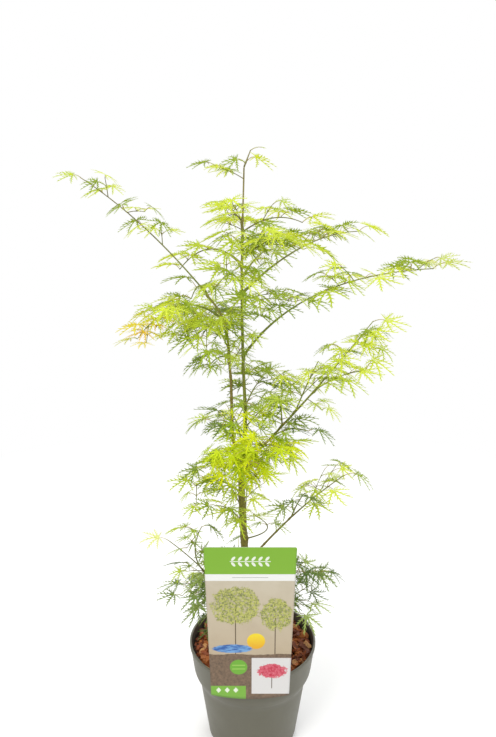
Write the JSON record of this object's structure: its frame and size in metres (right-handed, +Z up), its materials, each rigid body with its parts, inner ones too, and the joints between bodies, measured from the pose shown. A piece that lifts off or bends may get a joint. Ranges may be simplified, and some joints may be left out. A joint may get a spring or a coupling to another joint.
{
  "type": "potted japanese maple",
  "caption": "Young lace-leaved Japanese maple: slim forked stems, arching boughs and airy leaf sprays in a round nursery pot with bark mulch and a hooked plant card.",
  "frame": {"origin": "centre of the pot's flat underside", "axes": "+Z up along the trunk, -Y towards the front, where the card hangs, +X to the right seen from the front"},
  "size_m": [0.5218, 0.319, 0.8738],
  "materials": {
    "pot": "satin moulded warm grey",
    "mulch": "rough bark chips",
    "card": "printed, glossy",
    "bark": "smooth young olive bark",
    "leaf_lime": "leaf, satin lime green",
    "leaf_yellow": "leaf, satin yellow green",
    "leaf_gold": "leaf, satin gold",
    "leaf_pale": "leaf, satin pale green",
    "leaf_green": "leaf, satin mid green",
    "leaf_dark": "leaf, satin dark green"
  },
  "bodies": {
    "root": {"pot": "pot", "mulch": "mulch", "card": "card", "trunk": "bark", "second_stem": "bark", "crown_tip_leaves": "leaf_lime", "upper_left_leaves": "leaf_lime", "upper_right_leaves": "leaf_lime", "upper_front_leaves": "leaf_lime", "upper_back_leaves": "leaf_lime", "rising_right": "bark", "rising_right_leaves": "leaf_lime", "heart_right_leaves": "leaf_lime", "heart_left": "bark", "heart_left_leaves": "leaf_lime", "heart_back": "bark", "heart_back_leaves": "leaf_green", "heart_front_leaves": "leaf_lime", "heart_low_right_leaves": "leaf_green", "right_reach": "bark", "right_reach_leaves": "leaf_lime", "left_reach_leaves": "leaf_lime", "left_gold": "bark", "left_gold_leaves": "leaf_gold", "left_upper_leaves": "leaf_lime", "left_hang_leaves": "leaf_lime", "left_back_leaves": "leaf_green", "left_pair_leaves": "leaf_green", "left_low_pair_leaves": "leaf_dark", "front_left_leaves": "leaf_yellow", "front_right_leaves": "leaf_yellow", "right_fan": "bark", "right_fan_leaves": "leaf_lime", "right_fan_low_leaves": "leaf_lime", "right_fan_high_leaves": "leaf_lime", "right_fan_inner_leaves": "leaf_green", "right_hanging_leaves": "leaf_dark", "middle_back_leaves": "leaf_green", "middle_back_left_leaves": "leaf_green", "middle_right_leaves": "leaf_dark", "low_right": "bark", "low_right_leaves": "leaf_lime", "low_right_dark_leaves": "leaf_dark", "low_left_upper_leaves": "leaf_lime", "low_left_middle_leaves": "leaf_lime", "low_left": "bark", "low_left_leaves": "leaf_green", "low_left_pale_leaves": "leaf_pale", "low_back_leaves": "leaf_green", "low_back_left_leaves": "leaf_dark", "bent_shoot_leaves": "leaf_lime", "skirt_left": "bark", "skirt_left_leaves": "leaf_dark", "skirt_left_low_leaves": "leaf_dark", "skirt_right": "bark", "skirt_right_leaves": "leaf_dark", "skirt_right_low_leaves": "leaf_dark", "skirt_back_leaves": "leaf_dark", "skirt_front_leaves": "leaf_dark"}
  },
  "joints": []
}
